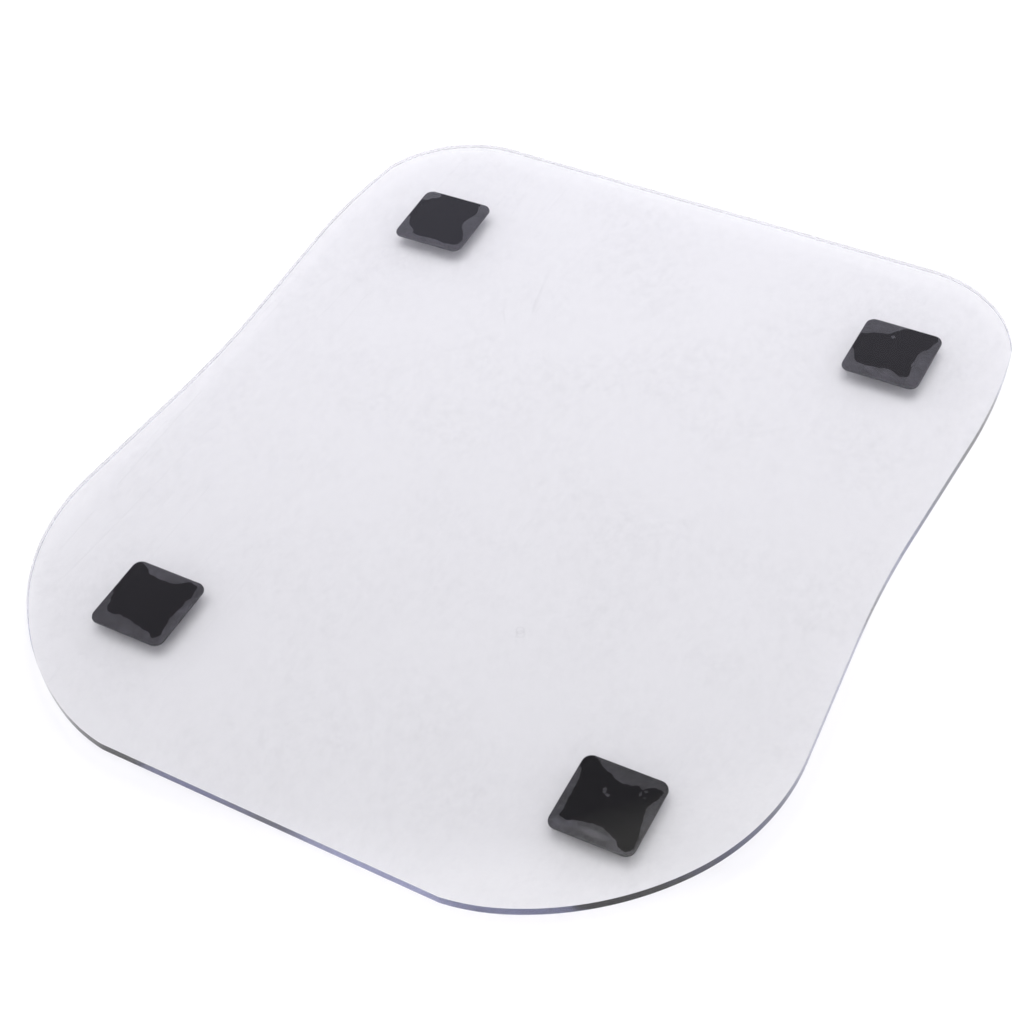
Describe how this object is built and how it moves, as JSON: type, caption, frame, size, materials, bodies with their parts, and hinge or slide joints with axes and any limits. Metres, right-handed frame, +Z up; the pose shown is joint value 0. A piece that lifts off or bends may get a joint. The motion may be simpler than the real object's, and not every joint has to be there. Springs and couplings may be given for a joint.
{
  "type": "clear rigid mat",
  "caption": "Thin clear acrylic mat with rounded corners and slightly waisted sides, raised on square self-adhesive tapered rubber feet.",
  "frame": {"origin": "on the ground plane, below the middle of the sheet's bounding box", "axes": "+Z up; +Y along the length, towards the end with the small corner radius; -Y towards the end with the large corner radius; +X to the right when looking along +Y"},
  "size_m": [0.2402, 0.2746, 0.0082],
  "materials": {
    "clear_acrylic": "polished",
    "black_rubber": "matte",
    "black_adhesive": "satin"
  },
  "bodies": {
    "root": {"clear_sheet": "clear_acrylic", "foot_front_left": "black_rubber", "foot_front_right": "black_rubber", "foot_back_left": "black_rubber", "foot_back_right": "black_rubber", "adhesive_front_left": "black_adhesive", "adhesive_front_right": "black_adhesive", "adhesive_back_left": "black_adhesive", "adhesive_back_right": "black_adhesive"}
  },
  "joints": []
}
